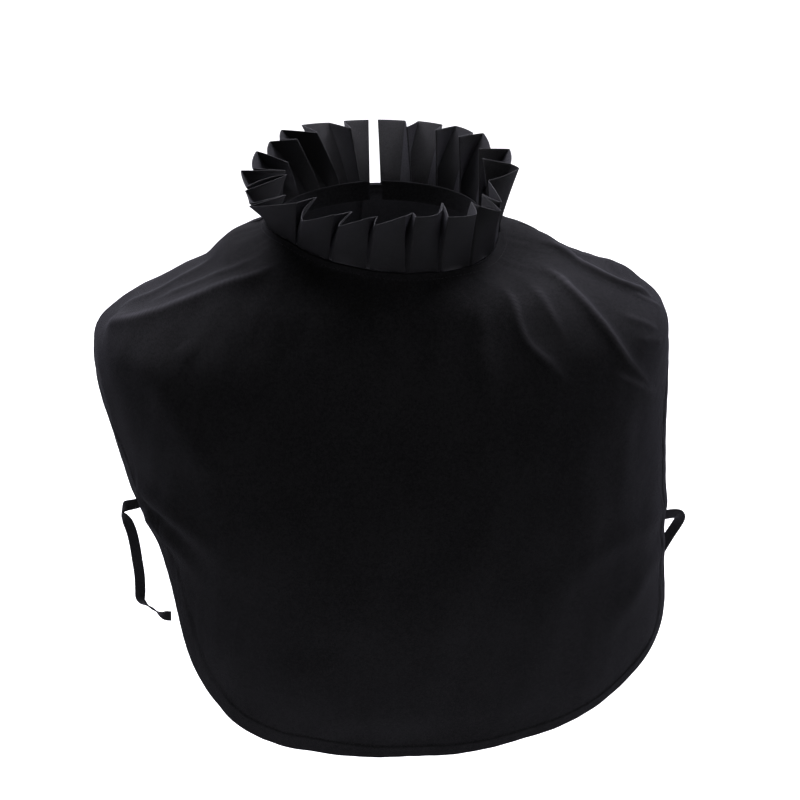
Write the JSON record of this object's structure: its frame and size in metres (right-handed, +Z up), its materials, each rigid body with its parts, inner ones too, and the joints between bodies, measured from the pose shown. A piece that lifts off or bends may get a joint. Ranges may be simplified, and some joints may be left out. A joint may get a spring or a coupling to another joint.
{
  "type": "detachable collar",
  "caption": "Black cloth bib collar with a pleated ruffle standing round the neck, a long front panel, a short back and side ties.",
  "frame": {"origin": "middle of the neck seam, where the ruffle meets the bib and the collar sits on the neck", "axes": "+Z up along the neck, -Y towards the front of the wearer, +X towards the wearer's left"},
  "size_m": [0.3946, 0.2345, 0.387],
  "materials": {
    "bib_cloth": "black plain-weave cloth with a faint cool sheen",
    "ruffle_cloth": "black pressed cloth in open pleats",
    "band_cloth": "black plain-weave cloth",
    "tie_tape": "black narrow tape",
    "button": "plain black button"
  },
  "bodies": {
    "root": {"front_bib": "bib_cloth", "back_bib_left": "bib_cloth", "back_bib_right": "bib_cloth", "ruffle": "ruffle_cloth", "neck_band": "band_cloth", "tie_left": "tie_tape", "tie_right": "tie_tape", "back_button": "button"}
  },
  "joints": []
}
